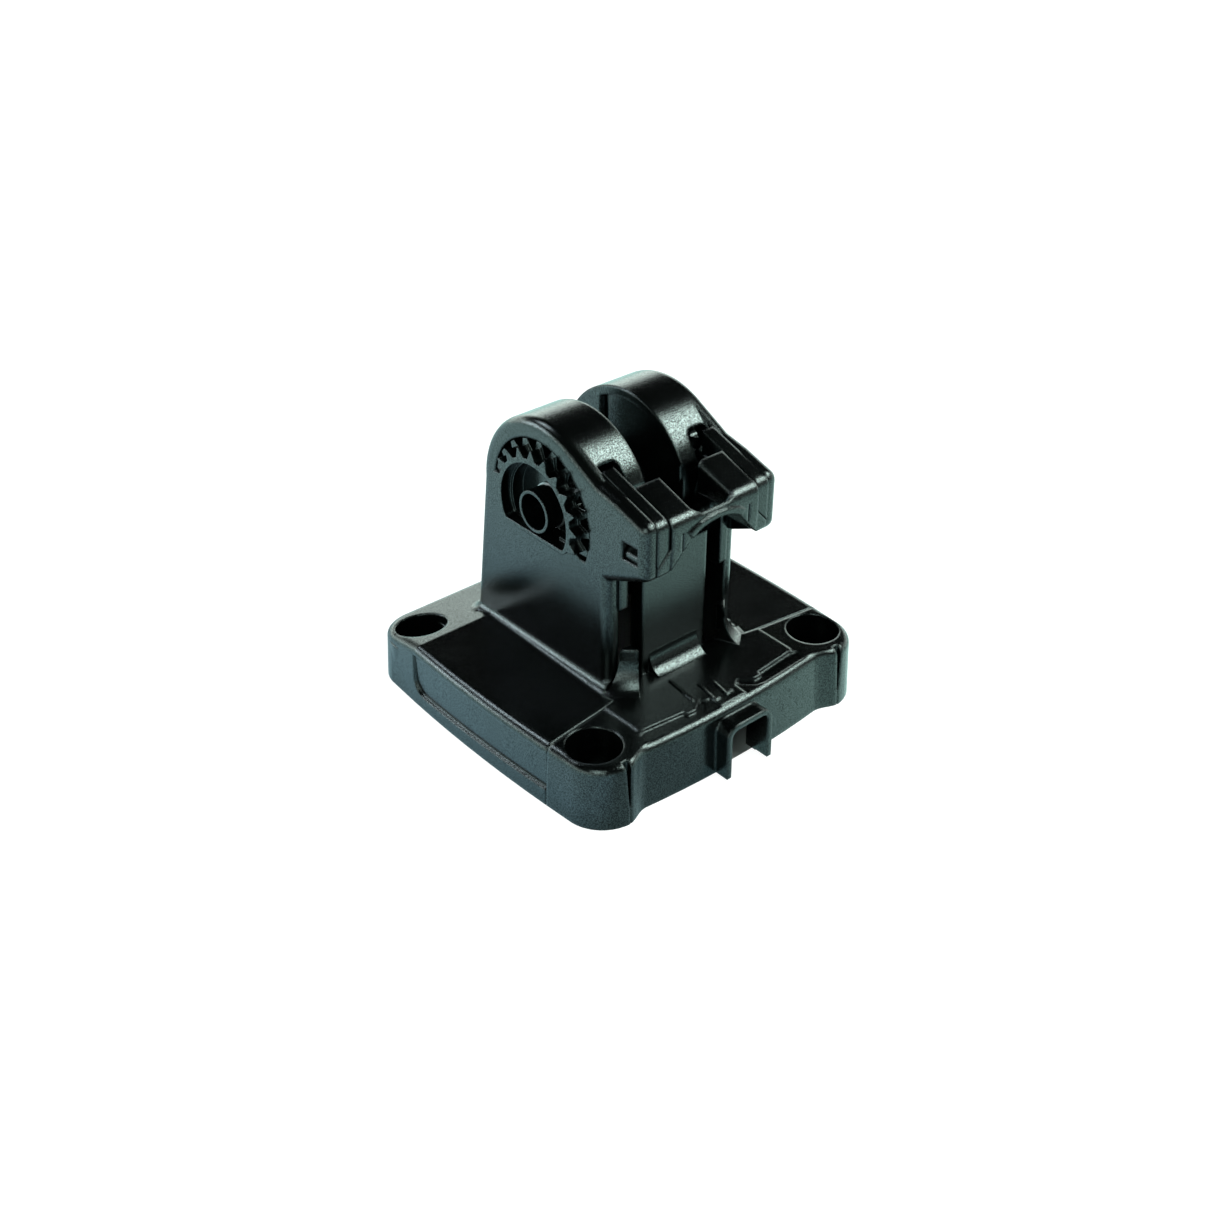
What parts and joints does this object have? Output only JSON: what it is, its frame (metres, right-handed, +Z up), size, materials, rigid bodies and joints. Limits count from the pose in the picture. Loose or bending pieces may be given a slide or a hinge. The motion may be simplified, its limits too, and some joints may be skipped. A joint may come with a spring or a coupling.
{
  "type": "quick-release tilt mount",
  "caption": "Skirted base and pedestal with two toothed hub buttons and a spring-loaded front release lever, for tilting and detaching a small display.",
  "frame": {"origin": "centre of the four deck screws, on the mounting surface under the base", "axes": "+Z up from the mounting surface, front (release lever and cable hood) towards -Y, hub axis along X"},
  "size_m": [0.11, 0.112, 0.0936],
  "materials": {
    "black_plastic": "fine moulded grain",
    "lever_plastic": "fine moulded grain",
    "button_plastic": "satin",
    "sleeve_black": "satin",
    "steel": "satin stainless",
    "spring_steel": "bright spring wire"
  },
  "bodies": {
    "mount": {"rear_shell": "black_plastic", "front_shell": "black_plastic", "side_frame_left": "black_plastic", "side_frame_right": "black_plastic", "lever_pin": "steel", "hub_sleeve_left": "sleeve_black", "hub_sleeve_right": "sleeve_black", "sleeve_clips": "spring_steel", "shell_screws": "steel", "lever_spring": "spring_steel", "button_spring_left": "spring_steel", "button_spring_right": "spring_steel"},
    "lever": {"release_lever": "lever_plastic"},
    "button_left": {"ratchet_button_left": "button_plastic"},
    "button_right": {"ratchet_button_right": "button_plastic"}
  },
  "joints": [
    {"name": "lever_pull", "type": "hinge", "parent": "mount", "child": "lever", "pos_m": [0, -0.0222, 0.0635], "axis": [1, 0, 0], "range_deg": [0, 11], "stiffness_Nm_per_rad": 0.6, "springref_deg": -11.46},
    {"name": "button_right_travel", "type": "slide", "parent": "mount", "child": "button_right", "axis": [-1, 0, 0], "range_m": [0, 0.003], "deforming": ["button_spring_right"]},
    {"name": "button_left_travel", "type": "slide", "parent": "mount", "child": "button_left", "axis": [1, 0, 0], "range_m": [0, 0.003], "deforming": ["button_spring_left"]}
  ],
  "couplings": [
    {"joint": "button_right_travel", "follows": "lever_pull", "m_per_rad": 0.0156},
    {"joint": "button_left_travel", "follows": "lever_pull", "m_per_rad": 0.0156}
  ]
}
